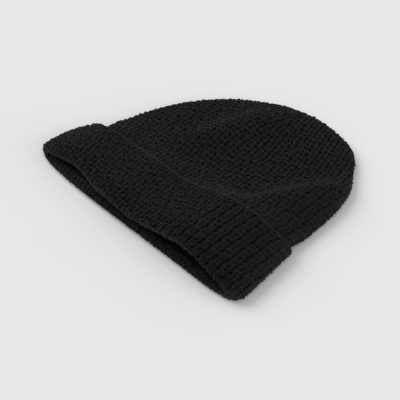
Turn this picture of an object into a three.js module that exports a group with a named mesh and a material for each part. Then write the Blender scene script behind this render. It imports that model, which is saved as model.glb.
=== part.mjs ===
// Knit beanie lying flat: a thick waffle-knit tube with a turned-up cuff and a four-gore crown.
// Millimetres. +X runs across the hat, +Y from the mouth to the crown tip, +Z up from the
// surface that the hat lies on. The origin is under the middle of the hat.
import * as THREE from 'three';

// ---- driving dimensions ------------------------------------------------------------------
const HAT_LENGTH = 197;             // folded mouth edge to crown tip
const MOUTH_Y = -97;                // where the folded mouth edge lies
const CUFF_HEIGHT = 58;             // height of the turned-up band at the seam
const FABRIC = 3.2;                 // thickness of one layer of knitting
const GAP = 0.4;                    // clearance between neighbouring pieces

// Distances "along" are measured from the folded mouth edge towards the crown tip, and
// distances "across" from the seam line, which lies a little to the right of the middle.
const SEAM_X = 7.5;
const ROLL_LENGTH = 6.5;            // part of the cuff that forms the plump fold at the mouth
const ROLL_THICKNESS = 8.6;
const BODY_START = ROLL_LENGTH + 2 * GAP;
const CROWN_START = 128;            // where the darts begin
const MOUTH_SKEW = -0.022;          // the mouth runs a little askew and bows outwards
const MOUTH_BOW = 2;
const MOUTH_SAG = 1.4;              // it hangs further out where it gapes
const LIP_DRAW_BACK = 7.4;          // how far the upper lip draws back on the left

// The two halves of the turned-up band: reach at the mouth, taper towards the free edge,
// radius of the corner at the mouth, extra height at the side fold and how far the mouth
// draws back there.
const CUFF_LEFT = { reach: 129, taper: 15.5, power: 2.8, corner: 7, rise: 0, drawBack: 4 };
const CUFF_RIGHT = { reach: 114.4, taper: 8.2, power: 1.2, corner: 12.8, rise: 11, drawBack: 0.6 };

// The two halves of the body. Each curves in towards the tip as a superellipse.
const BODY_LEFT = { reach: 106.2, start: 67, power: 1.66 };
const BODY_RIGHT = { reach: 102, start: 43, power: 3.6 };
const TIP_HALF_WIDTH = 7;           // half the hole that the gathering stitch closes

// Heights of the soft upper layer above the resting surface.
const MOUTH_HEIGHT = 17.8;          // where the walls of the mouth nearly touch
const MOUTH_GAPE = 14.5;            // how much higher the mouth gapes on its right
const CUFF_EDGE_LEFT = 20;          // free edge of the cuff, on the left and on the right
const CUFF_EDGE_RIGHT = 26;
const BODY_HEIGHT = 14;
const LEFT_RIDGE = 9;               // soft folds that run from the cuff to the crown
const RIGHT_RIDGE = 9.5;
const HOLLOW = 2.5;                 // between them, on the crown
const CROWN_TILT = 2.2;             // how far the crown leans towards the right fold
const SIDE_LEVEL = 9;               // height of the side folds, at the cuff and at the crown
const CROWN_LEVEL = 6;

const LEFT_ROUND = 32;              // radii of the upper side edges
const RIGHT_ROUND = 34;
const UNDER_ROUND = 8.8;            // radius of the lower side edges

const SEAM_HALF_WIDTH = 0.8;        // linking seams, a chain of yarn between two knitted edges
const SEAM_SLOT_HALF_WIDTH = 1.2;
const FOLD_SEAM_HALF_TURN = 0.0026; // the side seams, as a fraction of a turn at full width
const FOLD_SLOT_HALF_TURN = 0.0042;
const EDGE_CHAIN_LENGTH = 2.2;      // bound-off edge of the cuff
const KNOT_DEPTH = 1.4;             // gathering stitch at the crown tip

const LABEL_WIDTH = 15;             // blank care label, folded tape sewn into the back seam
const LABEL_LENGTH = 24;
const LABEL_THICKNESS = 0.6;
const LABEL_ALONG = 90;             // its edge nearest the mouth
const LABEL_STITCH_WIDTH = 1.6;

// ---- colours -----------------------------------------------------------------------------
const KNIT_BLACK = 0x1b1b1a;
const YARN_BLACK = 0x232322;
const LABEL_WHITE = 0xd8d6d0;

// ---- mesh resolution ---------------------------------------------------------------------
const STEPS_ROUND = 60;             // facets once round the cuff or the body
const STEPS_GORE = 15;              // facets across a gore
const STEPS_RISE = 11;              // rows from the darts' start to the tip

const TURN = 2 * Math.PI;

// ---- soft shape --------------------------------------------------------------------------
const mix = (a, b, t) => a + (b - a) * t;
const clamp = (t) => Math.min(1, Math.max(0, t));
const smooth = (from, to, x) => {
  const t = clamp((x - from) / (to - from));
  return t * t * (3 - 2 * t);
};
const bell = (x, centre, width) => Math.exp(-(((x - centre) / width) ** 2));

const roundOff = (distance, radius) => {
  const t = 1 - clamp(distance / Math.max(radius, 0.5));
  return Math.sqrt(1 - t * t);
};

const softMax = (a, b) => (a + b + Math.hypot(a - b, 4)) / 2;

// Where the cuff's free edge lies, at a distance across.
function cuffEdge(across) {
  const half = across < 0 ? CUFF_LEFT : CUFF_RIGHT;
  return CUFF_HEIGHT + half.rise * clamp(Math.abs(across) / half.reach);
}

// Height of the cuff's upper layer: the mouth gapes widely on its right and puckers a little
// on its left, and the free edge rises towards the right.
function cuffTop(across, along) {
  const pucker = 2.5 * bell(across, -92, 27) + 3.8 * bell(across, -38, 18);
  const mouth = MOUTH_HEIGHT + pucker + MOUTH_GAPE * bell(across, 51.5, 42.5);
  const shoulder = mix(CUFF_EDGE_LEFT, CUFF_EDGE_RIGHT, smooth(-30, 50, across));
  const edge = shoulder - 12 * smooth(36, 95, across);
  return mix(mouth, softMax(mouth, edge), smooth(0, cuffEdge(across), along));
}

// A soft fold of the upper layer, steeper on one side than on the other.
function foldProfile(distance, widthBefore, widthAfter) {
  const soft = Math.hypot(distance, 2.5) - 2.5;
  return Math.exp(-((soft / (distance < 0 ? widthBefore : widthAfter)) ** 1.5));
}

// Height of the body's and crown's upper layer: two soft ridges with a hollow between them.
function bodyTop(across, along) {
  const leftAt = -33 + 0.36 * (along - 109);
  const rightAt = 48 + 0.475 * (along - 72);
  const left = LEFT_RIDGE * foldProfile(across - leftAt, 13, 24) * smooth(80, 125, along)
    * (1 - 0.45 * smooth(155, 188, along));
  const right = RIGHT_RIDGE * foldProfile(across - rightAt, 10, 34)
    * (1 - 0.35 * smooth(120, 175, along));
  const hollow = HOLLOW * bell(across, 14, 26) * bell(along, 150, 30);
  const lean = CROWN_TILT * (0.5 - smooth(-30, 60, across)) * smooth(100, 135, along);
  const free = BODY_HEIGHT + left + right - hollow + lean;
  const underCuff = cuffTop(across, Math.min(along, cuffEdge(across))) - FABRIC - GAP;
  return mix(underCuff, free, smooth(0, 28, along - cuffEdge(across)));
}

// One cross-section of the cuff or of the body.
function cuffReach(half, along) {
  const taper = half.taper * clamp(along / CUFF_HEIGHT) ** half.power;
  return half.reach - taper - half.corner * (1 - roundOff(along, half.corner));
}

const cuffSection = () => ({ floor: 0, level: SIDE_LEVEL, top: cuffTop });

function bodySection(along) {
  const drop = smooth(CUFF_HEIGHT + 14, CUFF_HEIGHT + 32, along);
  return {
    floor: mix(FABRIC + GAP, 0, drop),
    level: mix(SIDE_LEVEL, CROWN_LEVEL, drop),
    top: bodyTop,
  };
}

// A point on a section. turn goes once round the hat: 0 at the middle of the lower layer,
// 0.25 at the left fold, 0.5 at the middle of the upper layer and 0.75 at the right fold.
// A row runs across the plan from the seam line, at seamAlong, to a side fold, at foldAlong.
// inset is the depth below the outer face, and flatten lowers a row towards the fold's level.
function sectionPoint(section, turn, inset, seamAlong, foldAlong, span, flatten = 1) {
  const side = -Math.sin(TURN * turn);
  const reach = Math.abs(side);
  const across = side * span;
  const along = mix(seamAlong, foldAlong, reach);
  const upper = Math.cos(TURN * turn) < 0;
  const radius = upper ? (side < 0 ? LEFT_ROUND : RIGHT_ROUND) : UNDER_ROUND;
  const height = upper
    ? section.top(across, along) - inset - section.level
    : section.floor + inset - section.level;
  const z = section.level + flatten * height * roundOff((1 - reach) * span, radius - inset);
  const { drawBack } = side < 0 ? CUFF_LEFT : CUFF_RIGHT;
  const bow = MOUTH_SKEW * across - MOUTH_BOW * (1 - (across / 115) ** 2)
    - MOUTH_SAG * bell(across, 80, 32) + drawBack * reach ** 6;
  const lip = LIP_DRAW_BACK * bell(across, -83, 26) * smooth(7, 11.5, z);
  const y = along + MOUTH_Y + (bow + lip) * (1 - clamp(along / CUFF_HEIGHT));
  return new THREE.Vector3(SEAM_X + across, y, z);
}

function cuffPoint(turn, along, inset) {
  const half = turn < 0.5 ? CUFF_LEFT : CUFF_RIGHT;
  const foldAlong = along + half.rise * clamp(along / CUFF_HEIGHT) ** 2;
  return sectionPoint(cuffSection(), turn, inset, along, foldAlong, cuffReach(half, along) - inset);
}

// Half-width of the body at a distance along, and its inverse, for one side of the crown.
const bodyHalf = (isLeft) => (isLeft ? BODY_LEFT : BODY_RIGHT);

function lobeSpan(isLeft, along) {
  const { reach, start, power } = bodyHalf(isLeft);
  const t = clamp((along - start) / (HAT_LENGTH - start));
  return reach * (1 - t ** power) ** (1 / power);
}

function lobeAlong(isLeft, width) {
  const { reach, start, power } = bodyHalf(isLeft);
  return start + (HAT_LENGTH - start) * (1 - (width / reach) ** power) ** (1 / power);
}

function bodyPoint(turn, along, inset) {
  const span = lobeSpan(turn < 0.5, along) - inset;
  return sectionPoint(bodySection(along), turn, inset, along, along, span);
}

// The crown's rows fan out from the seam line to the side folds, and close at the tip.
// rise goes from 0 at the darts' start to 1 at the tip.
function crownSpan(isLeft, rise) {
  return mix(TIP_HALF_WIDTH, lobeSpan(isLeft, CROWN_START), Math.cos(rise * Math.PI / 2));
}

function crownPoint(turn, rise, inset) {
  const isLeft = turn < 0.5;
  const width = crownSpan(isLeft, rise);
  const seamAlong = mix(CROWN_START, HAT_LENGTH - 2 - inset, rise);
  const foldAlong = lobeAlong(isLeft, width) - inset * rise;
  const flatten = Math.sqrt(1 - 0.8 * rise ** 4);
  return sectionPoint(bodySection(CROWN_START), turn, inset, seamAlong, foldAlong, width - inset, flatten);
}

// ---- building blocks ---------------------------------------------------------------------
const range = (from, to, steps) =>
  Array.from({ length: steps + 1 }, (_, i) => mix(from, to, i / steps));

// A closed sheet of fabric: a box whose corners are moved to point(turn, row, depth).
// turns(row) gives the two ends of the row round the hat; depth is 0 outside and 1 inside.
function sheet(point, turns, steps, rows) {
  const geometry = new THREE.BoxGeometry(1, 1, 1, steps, rows.length - 1, 1);
  const position = geometry.attributes.position;
  for (let i = 0; i < position.count; i += 1) {
    const row = rows[Math.round((position.getY(i) + 0.5) * (rows.length - 1))];
    const [from, to] = turns(row);
    const depth = 0.5 - position.getZ(i);
    const place = point(mix(from, to, position.getX(i) + 0.5), row, depth);
    position.setXYZ(i, place.x, place.y, place.z);
  }
  geometry.computeVertexNormals();
  return geometry;
}

function fabricMaterial(color, roughness = 0.95) {
  return new THREE.MeshStandardMaterial({ color, roughness, metalness: 0 });
}

const hat = new THREE.Group();

function addPart(name, geometry, color = KNIT_BLACK) {
  const mesh = new THREE.Mesh(geometry, fabricMaterial(color));
  mesh.name = name;
  hat.add(mesh);
}

// ---- cuff --------------------------------------------------------------------------------
// The band is one layer outside the body. At the mouth it turns in, as a plump fold that is
// a little thicker than both layers and whose end covers the body's edge.
const backSlot = (span, halfWidth) => halfWidth / (TURN * span);
const cuffTurns = (halfWidth) => () => {
  const slot = backSlot(CUFF_LEFT.reach, halfWidth);
  return [slot, 1 - slot];
};

function cuffLayer(turn, along, depth) {
  const deep = along <= ROLL_LENGTH - 0.4 ? ROLL_THICKNESS : FABRIC;
  const roundness = roundOff(along, ROLL_LENGTH);
  const inset = mix(ROLL_THICKNESS / 2, depth * deep, Math.max(roundness, 0.25));
  return cuffPoint(turn, along, inset);
}

const cuffRollRows = [0, 0.7, 2.1, 4.2, ROLL_LENGTH - 0.4, ROLL_LENGTH];
const cuffEdgeStart = CUFF_HEIGHT - EDGE_CHAIN_LENGTH;
const cuffRows = [...cuffRollRows, ...range(ROLL_LENGTH, cuffEdgeStart - GAP, 7).slice(1)];
addPart('cuff_band', sheet(cuffLayer, cuffTurns(SEAM_SLOT_HALF_WIDTH), STEPS_ROUND, cuffRows));

const edgeChain = (turn, along, depth) => cuffPoint(turn, along, depth * FABRIC);
addPart('cuff_edge_chain',
  sheet(edgeChain, cuffTurns(SEAM_SLOT_HALF_WIDTH), STEPS_ROUND, [cuffEdgeStart, CUFF_HEIGHT]),
  YARN_BLACK);

// A seam strip fills the slot between two knitted edges.
const seamTurns = (halfWidth, span) => {
  const slot = backSlot(span, halfWidth);
  return () => [-slot, slot];
};
const cuffSeamRows = [...cuffRows, cuffEdgeStart, CUFF_HEIGHT];
const wrap = (turn) => (turn < 0 ? turn + 1 : turn);
addPart('cuff_back_seam',
  sheet((turn, along, depth) => cuffLayer(wrap(turn), along, depth),
    seamTurns(SEAM_HALF_WIDTH, CUFF_LEFT.reach), 2, cuffSeamRows), YARN_BLACK);

// ---- body --------------------------------------------------------------------------------
const bodyLayer = (turn, along, depth) => bodyPoint(turn, along, depth * FABRIC);
const bodyRows = [
  ...range(BODY_START, CUFF_HEIGHT, 6),
  ...range(CUFF_HEIGHT, CROWN_START - GAP, 10).slice(1),
];
const bodyTurns = () => {
  const slot = backSlot(BODY_LEFT.reach, SEAM_SLOT_HALF_WIDTH);
  return [slot, 1 - slot];
};
addPart('body_tube', sheet(bodyLayer, bodyTurns, STEPS_ROUND, bodyRows));
addPart('back_seam',
  sheet((turn, along, depth) => bodyLayer(wrap(turn), along, depth),
    seamTurns(SEAM_HALF_WIDTH, BODY_LEFT.reach), 2, bodyRows), YARN_BLACK);

// ---- crown -------------------------------------------------------------------------------
const crownLayer = (turn, rise, depth) => crownPoint(wrap(turn), rise, depth * FABRIC);
const crownRows = range(0, 1, STEPS_RISE);

// Half the width of a seam or of its slot, as a fraction of a turn, at a row of the crown.
// Seams 0 and 2 lie in the middle of the lower and upper layer, 1 and 3 along the side folds.
function crownSlot(seam, isLeft, rise, halfWidth, halfTurn) {
  const span = crownSpan(isLeft, rise);
  return seam % 2 === 0
    ? backSlot(span, halfWidth)
    : halfTurn * Math.sqrt(BODY_LEFT.reach / span);
}

const goreNames = ['back_left_gore', 'front_left_gore', 'front_right_gore', 'back_right_gore'];
goreNames.forEach((name, gore) => {
  const isLeft = gore < 2;
  const turns = (rise) => [0, 1].map((end) => {
    const seam = gore + end;
    const slot = crownSlot(seam, isLeft, rise, SEAM_SLOT_HALF_WIDTH, FOLD_SLOT_HALF_TURN);
    return seam / 4 + (end === 0 ? slot : -slot);
  });
  addPart(name, sheet(crownLayer, turns, STEPS_GORE, crownRows));
});

const crownSeamNames = ['crown_back_seam', 'crown_left_seam', 'crown_front_seam', 'crown_right_seam'];
crownSeamNames.forEach((name, seam) => {
  const slotOn = (isLeft, rise) =>
    crownSlot(seam, isLeft, rise, SEAM_HALF_WIDTH, FOLD_SEAM_HALF_TURN);
  const turns = (rise) => {
    const beforeIsLeft = seam === 1 || seam === 2;
    const afterIsLeft = seam < 2;
    return [seam / 4 - slotOn(beforeIsLeft, rise), seam / 4 + slotOn(afterIsLeft, rise)];
  };
  addPart(name, sheet(crownLayer, turns, 2, crownRows), YARN_BLACK);
});

// The gathering stitch that closes the hole at the tip, a small flat knot of yarn.
const knot = new THREE.SphereGeometry(1, 16, 10);
knot.scale(TIP_HALF_WIDTH - 2.5, KNOT_DEPTH / 2, 1.9);
knot.translate(SEAM_X, MOUTH_Y + HAT_LENGTH + KNOT_DEPTH / 2 + GAP, CROWN_LEVEL - 1);
addPart('crown_gather_knot', knot, YARN_BLACK);

// ---- care label --------------------------------------------------------------------------
// A blank tape lying on the inside of the lower layer, held by a row of stitches at the seam.
const insideFloor = bodyPoint(0.01, LABEL_ALONG + LABEL_LENGTH / 2, FABRIC).z;
const labelLevel = Math.max(insideFloor, bodyPoint(0.01, LABEL_ALONG, FABRIC).z) + GAP;
const labelMiddle = LABEL_ALONG + LABEL_LENGTH / 2 + MOUTH_Y;

const stitches = new THREE.BoxGeometry(LABEL_STITCH_WIDTH, LABEL_LENGTH, LABEL_THICKNESS);
stitches.translate(SEAM_X, labelMiddle, labelLevel + LABEL_THICKNESS / 2);
addPart('label_stitches', stitches, YARN_BLACK);

const label = new THREE.BoxGeometry(LABEL_WIDTH, LABEL_LENGTH, LABEL_THICKNESS);
label.translate(SEAM_X + LABEL_STITCH_WIDTH / 2 + GAP + LABEL_WIDTH / 2, labelMiddle,
  labelLevel + LABEL_THICKNESS / 2);
addPart('care_label', label, LABEL_WHITE);

export default hat;
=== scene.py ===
"""Black waffle-knit beanie lying flat: visual model, floor, light and camera.

The fabric is made of thick closed sheets that follow the CAD solids to within a few
millimetres, with the waffle relief as real geometry. Lengths are in millimetres until a mesh
is made. Pairs of values in brackets are for the left and the right half of the hat. Three
names stand for places on it: "along" is the distance from the mouth towards the tip, "across"
the distance from the front seam of the crown, and "turn" the share of the way round.
"""
import math

import bpy
import numpy as np
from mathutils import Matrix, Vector


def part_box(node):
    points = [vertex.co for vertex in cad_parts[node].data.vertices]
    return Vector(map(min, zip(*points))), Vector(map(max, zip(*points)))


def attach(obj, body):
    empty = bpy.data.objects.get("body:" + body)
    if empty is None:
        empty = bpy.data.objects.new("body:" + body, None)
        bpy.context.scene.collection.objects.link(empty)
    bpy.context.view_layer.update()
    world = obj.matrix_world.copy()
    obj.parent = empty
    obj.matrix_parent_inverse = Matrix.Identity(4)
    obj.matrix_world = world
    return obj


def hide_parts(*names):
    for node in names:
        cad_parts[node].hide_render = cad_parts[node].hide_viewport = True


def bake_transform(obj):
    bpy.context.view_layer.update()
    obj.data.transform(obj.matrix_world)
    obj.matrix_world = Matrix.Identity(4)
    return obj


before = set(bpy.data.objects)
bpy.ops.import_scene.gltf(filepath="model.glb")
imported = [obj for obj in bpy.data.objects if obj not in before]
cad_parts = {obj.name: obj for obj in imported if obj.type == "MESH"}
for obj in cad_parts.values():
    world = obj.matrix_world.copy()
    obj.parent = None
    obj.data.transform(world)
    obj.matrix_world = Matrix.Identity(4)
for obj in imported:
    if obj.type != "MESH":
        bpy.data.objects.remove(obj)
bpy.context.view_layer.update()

MM = 0.001
TURN = 2 * math.pi


# ---- dimensions read from the frame ----------------------------------------------------------
def box_mm(node):
    low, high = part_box(node)
    return np.array(low) / MM, np.array(high) / MM


seam_low, seam_high = box_mm("crown_front_seam")
gore_low = box_mm("back_left_gore")[0]
label_low, label_high = box_mm("care_label")
stitch_low, stitch_high = box_mm("label_stitches")
knot_low, knot_high = box_mm("crown_gather_knot")

HAT_LENGTH = (197.0, 200.5)
CROWN_START = 128.0
SEAM_X = float(seam_low[0] + seam_high[0]) / 2
MOUTH_Y = float(gore_low[1]) - CROWN_START

# ---- soft shape, close to that of the CAD solids ---------------------------------------------
CUFF_HEIGHT = 58.0
FABRIC = 3.2                    # thickness of the knit
GAP = 0.4
ROLL_LENGTH = 6.5               # the rolled rim at the mouth
ROLL_THICKNESS = 8.6
BODY_START = ROLL_LENGTH + 2 * GAP
MOUTH_SKEW = -0.022             # slope of the mouth line across the hat
MOUTH_BOW = 2.0                 # how far its middle comes forward
MOUTH_SAG = 1.4                 # the same at the gape
LIP_DRAW_BACK = 7.4             # how far the upper lip draws back at the left
TIP_HALF_WIDTH = 7.0
SIDE_LEVEL, CROWN_LEVEL = 9.0, 6.0
LEFT_ROUND, RIGHT_ROUND, UNDER_ROUND = 32.0, 34.0, 8.8

# Heights of the upper layer.
MOUTH_HEIGHT = 17.8
MOUTH_GAPE = 14.5               # extra height at the right of the mouth
CUFF_EDGE_HEIGHT = (20.0, 26.0)
BODY_HEIGHT = 14.0
LEFT_RIDGE = 9.0
RIGHT_RIDGE = 9.5
HOLLOW = 2.5                    # between the ridges, on the crown
CROWN_TILT = 2.2                # how far the crown leans towards the right

# The outline: reach of the cuff, its taper, the power of the taper, the radius of the mouth's
# corner, the extra height at the side fold and how far the mouth draws back there.
CUFF_REACH = (128.5, 114.9)
CUFF_TAPER = (14.0, 8.8)
CUFF_POWER = (2.8, 1.2)
CUFF_CORNER = (7.0, 12.8)
CUFF_RISE = (0.0, 11.0)
CUFF_DRAW_BACK = (4.0, 0.6)
BODY_REACH = (106.2, 102.4)
BODY_ROUND_FROM = (67.0, 47.0)
BODY_POWER = (1.66, 3.4)
SHOULDER_HOLLOW = (2.5, 4.6)    # how far the crown's outline is pulled in at its shoulders
SHOULDER_ALONG = (182, 175)
SHOULDER_LENGTH = (9, 15)


def mix(a, b, t):
    return a + (b - a) * t


def smooth(start, end, x):
    t = np.clip((x - start) / (end - start), 0, 1)
    return t * t * (3 - 2 * t)


def bell(x, centre, width):
    return np.exp(-((x - centre) / width) ** 2)


def round_off(distance, radius):
    t = 1 - np.clip(distance / np.maximum(radius, 0.5), 0, 1)
    return np.sqrt(1 - t * t)


def ripple(x, y, scale, phase):
    """A smooth uneven field between about -1 and 1."""
    u, v = x / scale, y / scale
    total = np.sin(1.7 * u + 0.9 * v + phase)
    total = total + np.sin(-1.1 * u + 1.9 * v + 2.3 * phase)
    total = total + np.sin(0.6 * u - 1.3 * v + 4.1 * phase)
    return total / 3


def half(pair, is_left):
    return np.where(is_left, pair[0], pair[1])


def cuff_edge(across):
    share = np.clip(np.abs(across) / half(CUFF_REACH, across < 0), 0, 1)
    return CUFF_HEIGHT + half(CUFF_RISE, across < 0) * share


def cuff_top(across, along):
    pucker = 2.5 * bell(across, -92, 27) + 3.8 * bell(across, -38, 18)
    mouth = MOUTH_HEIGHT + pucker + MOUTH_GAPE * bell(across, 51.5, 42.5)
    edge = mix(*CUFF_EDGE_HEIGHT, smooth(-30, 50, across)) - 12 * smooth(36, 95, across)
    high = (mouth + edge + np.hypot(mouth - edge, 4)) / 2
    soft = 0.5 * ripple(across, along, 13, 0.7)
    return mix(mouth, high, smooth(0, cuff_edge(across), along)) + soft


def left_ridge_at(along):
    return 0.36 * (along - 109) - 33


def right_ridge_at(along):
    return 48 + 0.475 * (along - 72)


def fold_profile(distance, width_before, width_after):
    """A soft fold with a crisp crest, steeper on one side than on the other."""
    soft = np.hypot(distance, 2.5) - 2.5
    return np.exp(-(soft / np.where(distance < 0, width_before, width_after)) ** 1.5)


def body_top(across, along):
    left = LEFT_RIDGE * fold_profile(across - left_ridge_at(along), 13, 24)
    left = left * smooth(80, 125, along) * (1 - 0.68 * smooth(150, 186, along))
    right = RIGHT_RIDGE * fold_profile(across - right_ridge_at(along), 10, 34)
    right = right * (1 - 0.35 * smooth(120, 175, along))
    hollow = HOLLOW * bell(across, 14, 26) * bell(along, 150, 30)
    lean = CROWN_TILT * (0.5 - smooth(-30, 60, across)) * smooth(100, 135, along)
    free = BODY_HEIGHT + left + right - hollow + lean + 0.6 * ripple(across, along, 15, 2.1)
    edge = cuff_edge(across)
    under_cuff = cuff_top(across, np.minimum(along, edge)) - FABRIC - GAP
    return mix(under_cuff, free, smooth(0, 28, along - edge))


def section_point(turn, inset, seam_along, fold_along, span, floor, level, top, flatten=1.0):
    """A point of a cross-section; turn goes round the hat from the middle of its underside."""
    side = -np.sin(TURN * turn)
    reach = np.abs(side)
    across = side * span
    along = mix(seam_along, fold_along, reach)
    upper = np.cos(TURN * turn) < 0
    radius = np.where(upper, half((LEFT_ROUND, RIGHT_ROUND), side < 0), UNDER_ROUND)
    height = np.where(upper, top(across, along) - inset - level, floor + inset - level)
    z = level + flatten * height * round_off((1 - reach) * span, radius - inset)
    bow = MOUTH_SKEW * across - MOUTH_BOW * (1 - (across / 115) ** 2)
    bow = bow - MOUTH_SAG * bell(across, 80, 32) + half(CUFF_DRAW_BACK, side < 0) * reach ** 6
    lip = LIP_DRAW_BACK * bell(across, -83, 26) * smooth(7, 11.5, z)
    y = along + MOUTH_Y + (bow + lip) * (1 - np.clip(along / CUFF_HEIGHT, 0, 1))
    return np.stack([SEAM_X + across, y, z], axis=-1)


def cuff_fold_along(turn, along):
    return along + half(CUFF_RISE, turn < 0.5) * np.clip(along / CUFF_HEIGHT, 0, 1) ** 2


def cuff_point(turn, along, inset):
    is_left = turn < 0.5
    share = np.clip(along / CUFF_HEIGHT, 1e-6, 1)
    taper = half(CUFF_TAPER, is_left) * share ** half(CUFF_POWER, is_left)
    corner = half(CUFF_CORNER, is_left)
    span = half(CUFF_REACH, is_left) - taper - corner * (1 - round_off(along, corner)) - inset
    return section_point(turn, inset, along, cuff_fold_along(turn, along), span, 0.0,
                         SIDE_LEVEL, cuff_top)


def lobe_span(turn, along):
    is_left = turn < 0.5
    start, power = half(BODY_ROUND_FROM, is_left), half(BODY_POWER, is_left)
    t = np.clip((along - start) / (half(HAT_LENGTH, is_left) - start), 0, 1)
    return half(BODY_REACH, is_left) * (1 - t ** power) ** (1 / power)


def body_point(turn, along, inset):
    drop = smooth(CUFF_HEIGHT + 14, CUFF_HEIGHT + 32, along)
    floor = mix(FABRIC + GAP, 0, drop)
    level = mix(SIDE_LEVEL, CROWN_LEVEL, drop)
    return section_point(turn, inset, along, along, lobe_span(turn, along) - inset, floor,
                         level, body_top)


def crown_point(turn, rise, inset):
    """rise goes from 0 where the darts start to 1 at the tip."""
    is_left = turn < 0.5
    start, power = half(BODY_ROUND_FROM, is_left), half(BODY_POWER, is_left)
    width = mix(TIP_HALF_WIDTH, lobe_span(turn, CROWN_START), np.cos(rise * math.pi / 2))
    share = (1 - (width / half(BODY_REACH, is_left)) ** power) ** (1 / power)
    seam_along = mix(CROWN_START, HAT_LENGTH[0] - 2 - inset, rise)
    fold_along = start + (half(HAT_LENGTH, is_left) - start) * share - inset * rise
    shoulder = bell(fold_along, half(SHOULDER_ALONG, is_left), half(SHOULDER_LENGTH, is_left))
    width = width - half(SHOULDER_HOLLOW, is_left) * shoulder
    flatten = np.sqrt(1 - 0.8 * rise ** 4)
    return section_point(turn, inset, seam_along, fold_along, width - inset, 0.0, CROWN_LEVEL,
                         body_top, flatten)


# ---- waffle relief ---------------------------------------------------------------------------
PITCH = 4.45            # from one rib, or one cross bar, to the next
RELIEF = 1.75           # depth of the holes
STEP = 0.6              # spacing of the mesh on the outer faces
MEAN_REACH = 116        # turns a share of the way round the cuff into a distance

# Chains of stitches.
SEAM_CHAIN = {"width": 0.6, "radius": 0.45, "stitch": 2.6}
CROWN_CHAIN = {"width": 0.5, "radius": 0.36, "stitch": 2.6}
EDGE_CHAIN = {"width": 0.5, "radius": 0.6, "stitch": 2 * PITCH, "dive": 1.5}


def waffle(a, b, pairing):
    """Relief of the knit, 1 on the yarn and 0 in the holes, for wale a and course b.

    Where pairing is 1 the ribs stand in pairs: every second furrow is deep and the bars that
    cross it sink in, and the furrows between are nearly closed.
    """
    a = a + 0.08 * pairing * np.sin(math.pi * a)
    furrow = (0.5 - 0.5 * np.cos(TURN * a)) ** 0.8
    hole = (0.5 - 0.5 * np.cos(TURN * b)) ** 0.62
    deep = 0.5 - 0.5 * np.cos(math.pi * (a + 0.5))
    bar_level = 0.86 - 0.42 * pairing * deep
    floor = 0.02 + 0.46 * pairing * (1 - deep)
    height = 1 - furrow * mix(1 - bar_level, 1 - floor, hole)
    offset = a - np.round(a)
    chevron = np.cos(TURN * (b + 0.8 * np.abs(offset)))
    fine_chevron = np.cos(2 * TURN * (b + 0.7 * np.abs(offset)))
    split = np.exp(-(offset / 0.11) ** 2)
    yarn = mix(0.17 * chevron, 0.1 * chevron + 0.2 * fine_chevron, pairing) - 0.17 * split
    return height + (1 - furrow) * yarn


def arc_length(points, axis):
    step = np.linalg.norm(np.diff(points, axis=axis), axis=-1)
    start = np.zeros_like(np.take(step, [0], axis=axis))
    return np.concatenate([start, np.cumsum(step, axis=axis)], axis=axis)


def grid_normals(points):
    normal = np.cross(np.gradient(points, axis=0), np.gradient(points, axis=1))
    return normal / np.maximum(np.linalg.norm(normal, axis=-1, keepdims=True), 1e-9)


def even_turns(row_point):
    """Places round the hat, evenly spaced on one of its rows, and the ends of the quarters."""
    turns, quarter_ends = [], [0]
    for quarter in range(4):
        fine = np.linspace(quarter / 4, (quarter + 1) / 4, 800)
        arc = arc_length(row_point(np.clip(fine, 1e-5, 1 - 1e-5)), 0)
        count = round(float(arc[-1]) / STEP)
        turns.append(np.interp(np.linspace(0, arc[-1], count + 1), arc, fine)[:-1])
        quarter_ends.append(quarter_ends[-1] + count)
    turns = np.concatenate(turns + [[1.0]])
    return np.clip(turns, 1e-5, 1 - 1e-5), quarter_ends


def knit(base, a, b, pairing, groove, depth, fuzz_and_painted_sheen):
    """Outer face with the relief of the knit, and the relief as a value for the colour.

    depth scales the relief: the holes open where the fabric is pulled sideways, and close
    where it is stretched round a fold. The value for the colour puts painted shade in the holes
    and grooves, and the last argument adds a painted highlight along crests and folds.
    """
    x, y = base[..., 0], base[..., 1]
    a = a + 0.18 * ripple(x, y, 4.2, 1.3) + 0.16 * ripple(y, x, 1.7, 0.4)
    b = b + 0.2 * ripple(y, x, 5.0, 3.9) + 0.17 * ripple(x, y, 1.6, 2.6)
    height = waffle(a, b, pairing)
    height = mix(1, height, (1 + 0.5 * ripple(x, y, 1.9, 5.2)) * depth) - groove
    lift = 0.26 * ripple(x + 31, y, 1.1, 0.9)
    outer = base - grid_normals(base) * (RELIEF * (1 - height - lift))[..., None]
    outer[..., 2] = np.maximum(outer[..., 2], 0)
    return outer, height + fuzz_and_painted_sheen


# ---- meshes ----------------------------------------------------------------------------------
def make_object(name, verts, faces, material, relief=None, flat_from=None):
    mesh = bpy.data.meshes.new(name)
    mesh.from_pydata((verts * MM).tolist(), [], faces)
    shaded = np.ones(len(mesh.polygons), bool)
    if flat_from is not None:
        shaded[flat_from:] = False
    mesh.polygons.foreach_set("use_smooth", shaded)
    if relief is not None:
        attribute = mesh.attributes.new("relief", "FLOAT", "POINT")
        attribute.data.foreach_set("value", relief.astype(np.float32))
    mesh.materials.append(material)
    obj = bpy.data.objects.new(name, mesh)
    bpy.context.scene.collection.objects.link(obj)
    return obj


def loop_faces(index, closed_ends=True):
    """Faces of a solid whose columns are closed loops, with a cap at either end."""
    around = np.concatenate([index, index[:, :1]], axis=1)
    quads = np.stack([around[:-1, :-1], around[1:, :-1], around[1:, 1:], around[:-1, 1:]], -1)
    faces = quads.reshape(-1, 4).tolist()
    side_count = len(faces)
    if closed_ends:
        faces += [index[0].tolist(), index[-1, ::-1].tolist()]
    return faces, side_count


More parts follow.
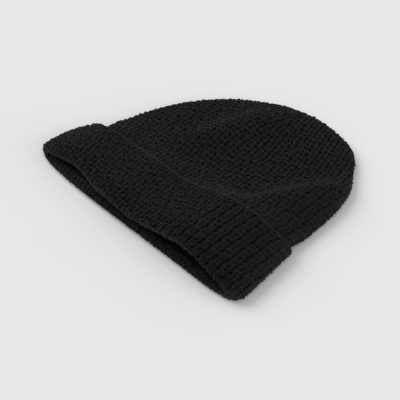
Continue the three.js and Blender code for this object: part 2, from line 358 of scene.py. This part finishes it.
def end_faces(column, index, outer_count):
    """A strip of triangles between the outer and the inner face, along an end of the sheet."""
    outer, inner = column[:outer_count], column[outer_count:]
    nearest = np.linalg.norm(outer[:, None] - inner[None], axis=-1).argmin(axis=1)
    nearest[0], nearest[-1] = len(inner) - 1, 0
    nearest = np.minimum.accumulate(nearest)
    below = index[outer_count:]
    faces = []
    for k in range(outer_count - 1):
        faces.append([index[k], index[k + 1], below[nearest[k]]])
        for j in range(nearest[k], nearest[k + 1], -1):
            faces.append([index[k + 1], below[j - 1], below[j]])
    return faces


def fabric_piece(name, outer, inner, relief, material):
    """A thick sheet; outer and inner share their columns, and inner runs back to the start."""
    loops = np.concatenate([outer, inner], axis=1)
    # The inner face gets a low fixed value: painted shade inside the hat.
    shade = np.concatenate([relief, np.full(inner.shape[:2], 0.15)], axis=1)
    index = np.arange(shade.size).reshape(shade.shape)
    faces, side_count = loop_faces(index, closed_ends=False)
    faces += end_faces(loops[0], index[0], outer.shape[1])
    faces += [face[::-1] for face in end_faces(loops[-1], index[-1], outer.shape[1])]
    return make_object(name, loops.reshape(-1, 3), faces, material, shade.ravel(), side_count)


def path_frame(path, towards):
    """Unit tangent, side and normal along a path; towards gives the rough normals."""
    tangent = np.gradient(path, axis=0)
    tangent /= np.linalg.norm(tangent, axis=1, keepdims=True)
    side = np.cross(towards, tangent)
    side /= np.linalg.norm(side, axis=1, keepdims=True)
    return side, np.cross(tangent, side)


def tube(path, radius, towards, sides=6):
    """Vertices of a tube round a path, as one closed loop for each point of the path."""
    side, normal = path_frame(path, towards)
    angle = np.arange(sides) / sides * TURN
    cosine, sine = np.cos(angle)[None, :, None], np.sin(angle)[None, :, None]
    return path[:, None] + radius * (side[:, None] * cosine + normal[:, None] * sine)


def tubes_object(name, tubes, material):
    verts, faces, start = [], [], 0
    for loops in tubes:
        index = np.arange(start, start + loops.shape[0] * loops.shape[1]).reshape(loops.shape[:2])
        verts.append(loops.reshape(-1, 3))
        faces += loop_faces(index)[0]
        start += index.size
    return make_object(name, np.concatenate(verts), faces, material)


def resample(path, normals, spacing):
    arc = arc_length(path, 0)
    even = np.linspace(0, arc[-1], max(4, round(float(arc[-1]) / spacing)))
    pick = [np.interp(even, arc, values) for values in (*path.T, *normals.T)]
    return np.stack(pick[:3], 1), np.stack(pick[3:], 1), even


def chain(path, normals, width, radius, stitch, dive=0.5):
    """A chain of stitches along a path: two strands that cross over and under each other.

    dive is how far they rise and sink, in radii; a deep dive leaves a row of knots showing.
    """
    path, normals, arc = resample(path, normals, stitch / 9)
    side, normal = path_frame(path, normals)
    strands = []
    for phase in (0.0, math.pi):
        turn = TURN * arc / stitch + phase
        lift = dive * radius * np.cos(2 * turn + 0.6)
        strand = path + side * (width * np.sin(turn))[:, None] + normal * lift[:, None]
        strands.append(tube(strand, radius, normal))
    return strands


# ---- materials -------------------------------------------------------------------------------
def nodes_of(name):
    material = bpy.data.materials.new(name)
    material.use_nodes = True
    tree = material.node_tree
    return material, tree, tree.nodes["Principled BSDF"]


def add_node(tree, kind, inputs=None, **settings):
    node = tree.nodes.new(kind)
    for key, value in settings.items():
        setattr(node, key, value)
    for key, value in (inputs or {}).items():
        if isinstance(value, bpy.types.NodeSocket):
            tree.links.new(value, node.inputs[key])
        else:
            node.inputs[key].default_value = value
    return node


def noise(tree, position, scale, detail=2.0):
    settings = {"Vector": position, "Scale": scale, "Detail": detail}
    return add_node(tree, "ShaderNodeTexNoise", settings).outputs["Fac"]


def remap(tree, value, low, high, to_low, to_high):
    node = add_node(tree, "ShaderNodeMapRange", {
        "Value": value, "From Min": low, "From Max": high, "To Min": to_low, "To Max": to_high})
    return node.outputs["Result"]


def math_node(tree, operation, a, b):
    node = add_node(tree, "ShaderNodeMath", {0: a, 1: b}, operation=operation)
    return node.outputs[0]


def yarn_material(name, level, tint, sheen, relief_shade):
    """Brushed yarn: fine twisted fibres and uneven dye, with painted sheen at grazing angles,
    painted shade in the holes and painted highlights on crests and folds.
    """
    material, tree, shader = nodes_of(name)
    position = add_node(tree, "ShaderNodeTexCoord").outputs["Object"]
    uneven = remap(tree, noise(tree, position, 38.0), 0.3, 0.7, 0.86, 1.14)
    strands = remap(tree, noise(tree, position, 900.0, 3.0), 0.3, 0.7, 0.3, 1.75)
    # Painted sheen: the colour is made lighter where the surface is seen at a grazing angle.
    facing = add_node(tree, "ShaderNodeLayerWeight", {"Blend": 0.5}).outputs["Facing"]
    painted_grazing_sheen = remap(tree, facing, 0.0, 1.0, 0.72, 1.75)
    shade = math_node(tree, "MULTIPLY", math_node(tree, "MULTIPLY", uneven, strands), painted_grazing_sheen)
    if relief_shade:
        # Painted shade in the holes and grooves, and painted highlights on crests and folds, from
        # the relief attribute.
        relief = add_node(tree, "ShaderNodeAttribute", attribute_name="relief").outputs["Fac"]
        shade = math_node(tree, "MULTIPLY", shade, remap(tree, relief, 0.0, 1.6, 0.12, 1.85))
    tone = add_node(tree, "ShaderNodeVectorMath", {0: tint, "Scale": shade}, operation="SCALE")
    scaled = add_node(tree, "ShaderNodeVectorMath", {0: tone.outputs[0], "Scale": level},
                      operation="SCALE")
    tree.links.new(scaled.outputs[0], shader.inputs["Base Color"])
    shader.inputs["Roughness"].default_value = 0.88
    shader.inputs["Specular IOR Level"].default_value = 0.14
    shader.inputs["Sheen Weight"].default_value = sheen
    shader.inputs["Sheen Roughness"].default_value = 0.4
    shader.inputs["Sheen Tint"].default_value = (0.9, 0.9, 0.92, 1)
    twist = add_node(tree, "ShaderNodeTexWave", {
        "Vector": position, "Scale": 420.0, "Distortion": 6.0, "Detail": 2.0},
        bands_direction="DIAGONAL")
    fuzz_and_painted_sheen = noise(tree, position, 2600.0, 4.0)
    height = math_node(tree, "ADD", math_node(tree, "MULTIPLY", twist.outputs["Fac"], 0.5), fuzz_and_painted_sheen)
    bump = add_node(tree, "ShaderNodeBump", {
        "Height": height, "Strength": 0.55, "Distance": 0.0003})
    tree.links.new(bump.outputs["Normal"], shader.inputs["Normal"])
    return material


def label_material():
    """Blank woven tape: fine satin ribs, a faint weft and slightly soiled edges."""
    material, tree, shader = nodes_of("label_tape")
    position = add_node(tree, "ShaderNodeTexCoord").outputs["Object"]
    ribs = add_node(tree, "ShaderNodeTexWave", {
        "Vector": position, "Scale": 900.0, "Distortion": 0.4}, bands_direction="Y")
    weft = add_node(tree, "ShaderNodeTexWave", {
        "Vector": position, "Scale": 620.0, "Distortion": 0.4}, bands_direction="X")
    weave = math_node(tree, "MULTIPLY", ribs.outputs["Fac"], weft.outputs["Fac"])
    soil = remap(tree, noise(tree, position, 140.0), 0.35, 0.75, 1.0, 0.86)
    shade = math_node(tree, "MULTIPLY", soil, remap(tree, weave, 0.0, 1.0, 0.9, 1.05))
    tone = add_node(tree, "ShaderNodeVectorMath", {0: (0.66, 0.65, 0.61), "Scale": shade},
                    operation="SCALE")
    tree.links.new(tone.outputs[0], shader.inputs["Base Color"])
    shader.inputs["Roughness"].default_value = 0.5
    shader.inputs["Sheen Weight"].default_value = 0.2
    bump = add_node(tree, "ShaderNodeBump", {"Height": weave, "Strength": 0.4, "Distance": 0.0001})
    tree.links.new(bump.outputs["Normal"], shader.inputs["Normal"])
    return material


knit_material = yarn_material("waffle_knit", 0.0071, (1.0, 1.0, 0.95), 0.05, True)
seam_material = yarn_material("seam_yarn", 0.014, (1.0, 1.0, 0.96), 0.05, False)
# The bound-off yarn has a lighter level: a painted highlight along the free edge of the cuff.
edge_material = yarn_material("bound_off_yarn", 0.0175, (1.0, 1.0, 0.97), 0.06, False)
tape_material = label_material()


# ---- cuff ------------------------------------------------------------------------------------
def build_cuff():
    """The turned-up band: outer face, rounded fold at the mouth and short inner return."""
    turns, ends = even_turns(lambda t: cuff_point(t, 20.0 + 0 * t, 0.0))
    roll_turn = np.linspace(math.pi, 0, 22)
    roll_along = ROLL_LENGTH * (1 - np.sin(roll_turn))
    roll_inset = ROLL_THICKNESS / 2 * (1 - np.cos(roll_turn))
    face_rows = round((CUFF_HEIGHT - ROLL_LENGTH) / STEP)
    face_along = np.linspace(ROLL_LENGTH, CUFF_HEIGHT - 0.5, face_rows)[1:]
    along = np.concatenate([roll_along, face_along])
    inset = np.concatenate([roll_inset, 0 * face_along])
    t, s = np.meshgrid(turns, along, indexing="ij")
    base = cuff_point(t, s, np.broadcast_to(inset, s.shape))
    across, y = base[..., 0] - SEAM_X, base[..., 1]
    arc = arc_length(base, 0)
    middle = arc[ends[2]]
    a = (arc - middle) / PITCH + 0.5
    edge_line = cuff_point(turns, CUFF_HEIGHT + 0 * turns, 0 * turns)
    path = arc_length(base[:, ::-1], 1)[:, ::-1]
    b = (path + np.abs(edge_line[:, None, 1] - base[:, -1:, 1])) / PITCH

    # On the upper face the ribs pair up and the holes deepen towards the right, with more painted
    # shade. The rolled rim has less relief on its crest, and gets a painted highlight there and at
    # both side folds.
    upper = smooth(0.2, 0.3, t) * (1 - smooth(0.8, 0.9, t))
    ridge = mix(6, 38, np.clip((y - MOUTH_Y) / CUFF_HEIGHT, 0, 1))
    pairing = 0.75 * upper * smooth(-6, 14, across - ridge)
    from_seam = np.minimum(t, 1 - t) * TURN * MEAN_REACH
    groove = 0.5 * np.exp(-(from_seam / 1.3) ** 2)
    depth = 1 + 0.35 * upper * smooth(-20, 40, across)
    depth = depth * (1 + upper * (0.5 * bell(s, 9, 8) - 0.6 * bell(s, 0.3, 0.9)))
    from_left, from_right = across - across.min(axis=0), across.max(axis=0) - across
    # Painted highlights: lighter colour at the left corner, along the crest of the rolled rim and
    # at the right end.
    fuzz_and_painted_sheen = 0.4 * bell(from_left, 0, 42) + 0.4 * bell(s, 0.3, 0.6)
    fuzz_and_painted_sheen = upper * fuzz_and_painted_sheen + 0.85 * bell(from_right, 0, 9)
    outer, relief = knit(base, a, b, pairing, groove, depth, fuzz_and_painted_sheen)

    # The sheet thins out towards its free edge.
    rim = smooth(0, 2.0, CUFF_HEIGHT - s)
    outer = outer - grid_normals(base) * (0.7 * (1 - rim))[..., None]

    inner_along = np.linspace(CUFF_HEIGHT - 0.5, ROLL_LENGTH, 16)
    ti, si = np.meshgrid(turns, inner_along, indexing="ij")
    inner = cuff_point(ti, si, FABRIC)
    quarters = {"cuff_back_left_knit": 0, "cuff_front_left_knit": 1,
                "cuff_front_right_knit": 2, "cuff_back_right_knit": 3}
    for name, quarter in quarters.items():
        part = slice(ends[quarter], ends[quarter + 1] + 1)
        piece = fabric_piece(name, outer[part], inner[part], relief[part], knit_material)
        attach(piece, "cuff")
        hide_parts("cuff_band")


# ---- body and crown --------------------------------------------------------------------------
def build_body():
    """The tube and the four gores, as four sheets that bend where the crown folds."""
    turns, ends = even_turns(lambda t: body_point(t, 90.0 + 0 * t, 0.0))
    body_along = np.linspace(BODY_START, CROWN_START, round((CROWN_START - BODY_START) / STEP))
    rise = np.linspace(0, 1, 600)
    fold_lines = [arc_length(crown_point(side + 0 * rise, rise, 0.0), 0) for side in (0.25, 0.75)]
    fold_arc = sum(fold_lines) / 2
    rises = np.interp(np.arange(STEP, fold_arc[-1], STEP), fold_arc, rise)
    t, s = np.meshgrid(turns, body_along, indexing="ij")
    tc, r = np.meshgrid(turns, rises, indexing="ij")
    base = np.concatenate([body_point(t, s, 0.0), crown_point(tc, r, 0.0)], axis=1)
    turn = np.broadcast_to(turns[:, None], base.shape[:2])
    across, along = base[..., 0] - SEAM_X, base[..., 1] - MOUTH_Y
    rows = len(body_along)

    # Wales run straight from the mouth; the darts of the crown swallow a few of them.
    arc = arc_length(base, 0)
    from_front = arc - arc[ends[2]]
    from_back = np.minimum(arc, arc[-1:] - arc)
    side = np.where(turn < 0.5, -1.0, 1.0)
    half_round = np.where(turn < 0.5, -from_front[0, rows - 1], from_front[-1, rows - 1])
    lower = (turn < 0.25) | (turn > 0.75)
    in_crown = np.arange(base.shape[1])[None, :] >= rows
    wale = np.where(lower & in_crown, side * (half_round - from_back), from_front)
    swallowed = 14 * np.clip((along - CROWN_START - 2) / 66, 0, 1) ** 1.3
    wale = wale + side * swallowed * np.where(lower, -1.0, 1.0)
    a, b = wale / PITCH + 0.5, along / PITCH
    crest = right_ridge_at(along)
    pairing = np.where(lower, 0.0, 0.7 * smooth(-5, 10, across - crest))
    pairing = pairing * (1 - 0.5 * smooth(140, 170, along))

    # A groove for the back seam, and fainter ones for the other seams of the crown.
    from_fold = np.minimum(np.abs(arc - arc[ends[1]]), np.abs(arc - arc[ends[3]]))
    from_dart = np.minimum(from_fold, np.abs(from_front))
    groove = 0.55 * np.exp(-(from_back / 1.4) ** 2)
    groove = groove + 0.16 * np.exp(-(from_dart / 1.1) ** 2) * smooth(124, 134, along)

    # The holes deepen between the ridges, with more painted shade; the crests and the right fold
    # get a painted highlight.
    in_hollow = np.where(lower, 0, smooth(-25, 10, across - 0.36 * (along - 150)))
    depth = 1 + 0.18 * in_hollow * bell(along, 145, 50) * (1 - 0.7 * smooth(-8, 4, across - crest))
    from_right = across.max(axis=0) - across
    left_crest = across - left_ridge_at(along)
    fuzz_and_painted_sheen = 0.35 * bell(across - crest, -1, 3.5) * smooth(66, 80, along)
    fuzz_and_painted_sheen = fuzz_and_painted_sheen + 0.3 * bell(left_crest, 0, 4) * smooth(130, 150, along)
    fuzz_and_painted_sheen = np.where(lower, 0, fuzz_and_painted_sheen) + 0.5 * bell(from_right, 0, 6)
    outer, relief = knit(base, a, b, pairing, groove, depth, fuzz_and_painted_sheen)

    inner_along = np.linspace(CROWN_START, BODY_START, 30)
    inner_rise = np.linspace(1, 0, 26)[:-1]
    ti, si = np.meshgrid(turns, inner_along, indexing="ij")
    tr, ri = np.meshgrid(turns, inner_rise, indexing="ij")
    inner = np.concatenate([crown_point(tr, ri, FABRIC), body_point(ti, si, FABRIC)], axis=1)
    quarters = ["back_left", "front_left", "front_right", "back_right"]
    for quarter, name in enumerate(quarters):
        part = slice(ends[quarter], ends[quarter + 1] + 1)
        piece = fabric_piece(name + "_knit", outer[part], inner[part], relief[part], knit_material)
        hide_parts("body_tube", name + "_gore")
        finish_body_piece(piece)


def finish_body_piece(piece):
    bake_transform(piece)


# ---- seams -----------------------------------------------------------------------------------
def surface_path(point, turns, rows, depth):
    """A line on the outer face, and the face's normals along it."""
    here = point(turns, rows, depth + 0 * turns)
    above = point(turns, rows, depth - 1.0 + 0 * turns)
    normals = above - here
    return here, normals / np.maximum(np.linalg.norm(normals, axis=1, keepdims=True), 1e-9)


def build_seams():
    turns = np.linspace(1e-4, 1 - 1e-4, 900)
    strands = []

    # The free edge of the cuff; its yarn sinks in on the underside, which lies on the floor.
    for below_edge, depth in ((0.7, 1.1), (1.3, 0.45)):
        rows = CUFF_HEIGHT - below_edge + 0.35 * ripple(600 * turns, turns, 4.0, below_edge)
        sunk = depth + 0.35 * ripple(turns, 600 * turns, 5.0, below_edge)
        sunk = np.maximum(sunk, 1.6 * smooth(-0.2, 0.4, np.cos(TURN * turns)))
        path, normals = surface_path(cuff_point, turns, rows, sunk)
        strands += chain(path, normals, **EDGE_CHAIN)
    edge = tubes_object("cuff_bound_off_chain", strands, edge_material)
    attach(edge, "cuff")
    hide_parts("cuff_edge_chain")

    along = np.linspace(3.0, CUFF_HEIGHT - 1, 120)
    path, normals = surface_path(cuff_point, 1e-4 + 0 * along, along, 0.9)
    seam = tubes_object("cuff_linked_seam", chain(path, normals, **SEAM_CHAIN), seam_material)
    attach(seam, "cuff")
    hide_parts("cuff_back_seam")

    along = np.linspace(BODY_START + 1, CROWN_START, 200)
    path, normals = surface_path(body_point, 1e-4 + 0 * along, along, 0.9)
    seam = tubes_object("back_linked_seam", chain(path, normals, **SEAM_CHAIN), seam_material)
    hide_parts("back_seam")
    finish_body_piece(seam)

    rise = np.linspace(0.0, 0.985, 200)
    for name, turn in (("back", 1e-4), ("left", 0.25), ("front", 0.5), ("right", 0.75)):
        path, normals = surface_path(crown_point, turn + 0 * rise, rise, 1.25)
        strands = chain(path, normals, **CROWN_CHAIN)
        seam = tubes_object(f"crown_{name}_linked_seam", strands, seam_material)
        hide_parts(f"crown_{name}_seam")
        finish_body_piece(seam)


def build_knot():
    """The gathering stitch: yarn wound a few times round the closed tip."""
    centre = (knot_low + knot_high) / 2
    size = (knot_high - knot_low) / 2
    turn = np.linspace(0, 5 * TURN, 260)
    swing = 0.72 + 0.2 * np.sin(turn * 0.61)
    path = np.stack([
        centre[0] + size[0] * swing * np.cos(turn),
        centre[1] - 0.9 + 0.6 * size[1] * np.sin(turn * 1.37),
        centre[2] + size[2] * swing * np.sin(turn)], 1)
    normals = np.broadcast_to([0.0, 1.0, 0.0], path.shape)
    knot = tubes_object("gathering_stitch", [tube(path, 0.5, normals)], seam_material)
    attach(knot, "crown")
    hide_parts("crown_gather_knot")


# ---- care label ------------------------------------------------------------------------------
def build_label():
    """Blank tape with a slight curl and a turned hem, held by a row of stitches."""
    low, high = label_low, label_high
    u, v = np.meshgrid(np.linspace(0, 1, 46), np.linspace(0, 1, 60), indexing="ij")
    thickness = float(high[2] - low[2])
    curl = 0.5 * u ** 3 + 0.12 * np.sin(9 * v) * u
    hem = 0.16 * smooth(0.86, 0.9, u)
    x = mix(low[0], high[0], u)
    y = mix(low[1], high[1], v)
    top = np.stack([x, y, low[2] + thickness * 0.72 + curl + hem], -1)
    bottom = np.stack([x, y, low[2] + 0.15 + curl], -1)
    loops = np.concatenate([top, bottom[:, ::-1]], axis=1)
    index = np.arange(loops.shape[0] * loops.shape[1]).reshape(loops.shape[:2])
    faces = loop_faces(index)[0]
    tape = make_object("blank_label_tape", loops.reshape(-1, 3), faces, tape_material)
    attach(tape, "label")
    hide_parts("care_label")

    strands = []
    middle_x = float(stitch_low[0] + stitch_high[0]) / 2
    level = float(stitch_high[2])
    for start in np.arange(stitch_low[1] + 0.6, stitch_high[1] - 1.6, 2.4):
        bend = np.linspace(0, math.pi, 9)
        path = np.stack([middle_x + 0.25 * np.cos(bend), start + 1.7 * bend / math.pi,
                         level - 0.35 + 0.4 * np.sin(bend)], 1)
        strands.append(tube(path, 0.22, np.broadcast_to([0.0, 0.0, 1.0], path.shape)))
    stitches = tubes_object("label_stitch_row", strands, seam_material)
    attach(stitches, "body")
    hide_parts("label_stitches")


build_cuff()
build_body()
build_seams()
build_knot()
build_label()


# ---- floor, light and camera -----------------------------------------------------------------
def build_floor():
    size = 12000.0
    corners = np.array([[-size, -size, 0], [size, -size, 0], [size, size, 0], [-size, size, 0]])
    material, _, shader = nodes_of("studio_floor")
    shader.inputs["Base Color"].default_value = (0.79, 0.79, 0.79, 1)
    shader.inputs["Roughness"].default_value = 1.0
    shader.inputs["Specular IOR Level"].default_value = 0.0
    floor = make_object("studio_floor", corners - [0, 0, 0.1], [[0, 1, 2, 3]], material)


def build_light():
    bpy.context.scene.view_settings.view_transform = "Standard"
    world = bpy.data.worlds.new("soft_studio")
    bpy.context.scene.world = world
    world.use_nodes = True
    background = world.node_tree.nodes["Background"]
    background.inputs["Color"].default_value = (1, 1, 1, 1)
    background.inputs["Strength"].default_value = 0.4
    for name, azimuth, elevation, energy, softness in (
        ("key", 280.0, 42.0, 1.7, 50.0),
        ("fill", 55.0, 50.0, 0.8, 50.0),
        ("rim", 108.0, 16.0, 0.75, 40.0),
    ):
        lamp = bpy.data.lights.new(name, "SUN")
        lamp.energy = energy
        lamp.angle = math.radians(softness)
        turn, lift = math.radians(azimuth), math.radians(elevation)
        from_light = Vector((math.sin(turn) * math.cos(lift), -math.cos(turn) * math.cos(lift),
                             math.sin(lift)))
        light = bpy.data.objects.new(name, lamp)
        light.rotation_euler = from_light.to_track_quat("Z", "Y").to_euler()
        bpy.context.scene.collection.objects.link(light)


def build_camera():
    turn, lift, distance = math.radians(44.8), math.radians(44.5), 2.5
    target = Vector((0.0124, -0.0321, 0.0))
    back = Vector((math.sin(turn) * math.cos(lift), -math.cos(turn) * math.cos(lift),
                   math.sin(lift)))
    data = bpy.data.cameras.new("camera")
    data.sensor_width = 36.0
    data.lens = 271.8
    data.clip_end = 100.0
    camera = bpy.data.objects.new("camera", data)
    camera.location = target + back * distance
    camera.rotation_euler = back.to_track_quat("Z", "Y").to_euler()
    bpy.context.scene.collection.objects.link(camera)
    bpy.context.scene.camera = camera


build_floor()
build_light()
build_camera()
